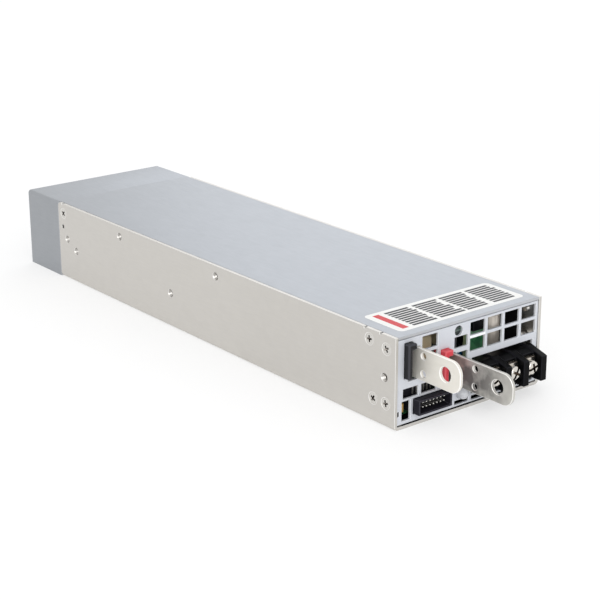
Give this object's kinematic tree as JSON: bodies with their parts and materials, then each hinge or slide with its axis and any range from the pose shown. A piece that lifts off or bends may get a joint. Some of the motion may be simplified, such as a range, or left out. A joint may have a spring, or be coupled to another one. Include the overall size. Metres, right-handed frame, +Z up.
{
  "type": "switching power supply",
  "caption": "Slim enclosed switching power supply: folded sheet-metal case, punched front panel with output tabs, barrier terminal block and signal header, fans at the rear.",
  "frame": {"origin": "centre of the case's underside", "axes": "+Z up, +Y along the case from the terminal end to the fan end, +X to the right seen from the terminal end"},
  "size_m": [0.085, 0.3348, 0.041],
  "materials": {
    "zinc_coated_sheet": "plain zinc-coated sheet, satin",
    "cover_sheet_metal": "plain zinc-coated sheet, satin",
    "screw_steel": "zinc plated, satin",
    "tin_plate": "tin plated, satin",
    "nickel_plate": "nickel plated, bright",
    "brass": "plated contact",
    "gold_plate": "plated pins",
    "black_plastic": "moulded, slightly glossy",
    "black_insulator": "moulded, matte",
    "red_insulator": "moulded, matte",
    "fan_plastic": "moulded, matte",
    "epoxy_case": "moulded epoxy",
    "board_laminate": "solder mask",
    "insulating_film": "thin film",
    "tan_box": "moulded box",
    "beige_sleeve": "shrunk sleeve",
    "dark_sleeve": "shrunk sleeve",
    "blue_disc": "dipped coating",
    "glass_tube": "tube",
    "copper_winding": "enamelled wire",
    "ferrite": "sintered",
    "aluminium": "extruded",
    "lamp_lens": "clear tinted lens",
    "trimmer_plastic": "moulded"
  },
  "bodies": {
    "case": {"chassis": "zinc_coated_sheet", "top_cover": "cover_sheet_metal", "front_panel": "cover_sheet_metal", "case_screws": "screw_steel", "mount_nuts": "screw_steel", "negative_tab": "tin_plate", "positive_tab": "tin_plate", "negative_tab_insulator": "black_insulator", "positive_tab_insulator": "red_insulator", "terminal_block": "black_plastic", "terminal_contacts": "brass", "control_board": "board_laminate", "board_connector": "black_plastic", "signal_header": "black_plastic", "header_pins": "gold_plate", "trimmer_body": "blue_disc", "indicator_lamp": "lamp_lens", "insulation_sheet": "insulating_film", "board_standoffs": "screw_steel", "board_screws": "screw_steel", "main_board": "board_laminate", "left_fan_frame": "fan_plastic", "right_fan_frame": "fan_plastic", "fan_stators": "copper_winding", "fan_screws": "screw_steel", "input_fuse": "glass_tube", "input_capacitor": "beige_sleeve", "line_capacitor": "tan_box", "filter_choke_front": "copper_winding", "filter_choke_rear": "copper_winding", "noise_capacitors": "blue_disc", "inrush_relay": "epoxy_case", "inrush_thermistor": "epoxy_case", "bridge_rectifier": "epoxy_case", "boost_choke": "copper_winding", "bulk_capacitor_front": "dark_sleeve", "bulk_capacitor_rear": "dark_sleeve", "rectifier_heatsink": "aluminium", "rectifier_transistors": "epoxy_case", "transformer_core": "ferrite", "transformer_winding": "copper_winding", "resonant_core": "ferrite", "resonant_winding": "copper_winding", "inverter_heatsink": "aluminium", "inverter_transistors": "epoxy_case", "auxiliary_core": "ferrite", "auxiliary_winding": "copper_winding", "output_choke": "copper_winding", "film_capacitor": "tan_box", "output_capacitors": "dark_sleeve", "driver_board": "board_laminate"},
    "left_fan_wheel": {"left_fan_rotor": "fan_plastic"},
    "right_fan_wheel": {"right_fan_rotor": "fan_plastic"},
    "trimmer": {"trimmer_rotor": "trimmer_plastic"},
    "left_terminal": {"terminal_screw_left": "nickel_plate", "terminal_clamp_left": "nickel_plate"},
    "middle_terminal": {"terminal_screw_middle": "nickel_plate", "terminal_clamp_middle": "nickel_plate"},
    "right_terminal": {"terminal_screw_right": "nickel_plate", "terminal_clamp_right": "nickel_plate"}
  },
  "joints": [
    {"name": "left_fan_spin", "type": "hinge", "parent": "case", "child": "left_fan_wheel", "pos_m": [-0.02, 0.132, 0.02065], "axis": [0, 1, 0], "continuous": true},
    {"name": "right_fan_spin", "type": "hinge", "parent": "case", "child": "right_fan_wheel", "pos_m": [0.02, 0.132, 0.02065], "axis": [0, 1, 0], "continuous": true},
    {"name": "trimmer_turn", "type": "hinge", "parent": "case", "child": "trimmer", "pos_m": [-0.0068, -0.147, 0.0362], "axis": [0, 1, 0], "range_deg": [-135, 135]},
    {"name": "left_terminal_travel", "type": "slide", "parent": "case", "child": "left_terminal", "axis": [0, -1, 0], "range_m": [0, 0.003]},
    {"name": "middle_terminal_travel", "type": "slide", "parent": "case", "child": "middle_terminal", "axis": [0, -1, 0], "range_m": [0, 0.003]},
    {"name": "right_terminal_travel", "type": "slide", "parent": "case", "child": "right_terminal", "axis": [0, -1, 0], "range_m": [0, 0.003]}
  ]
}
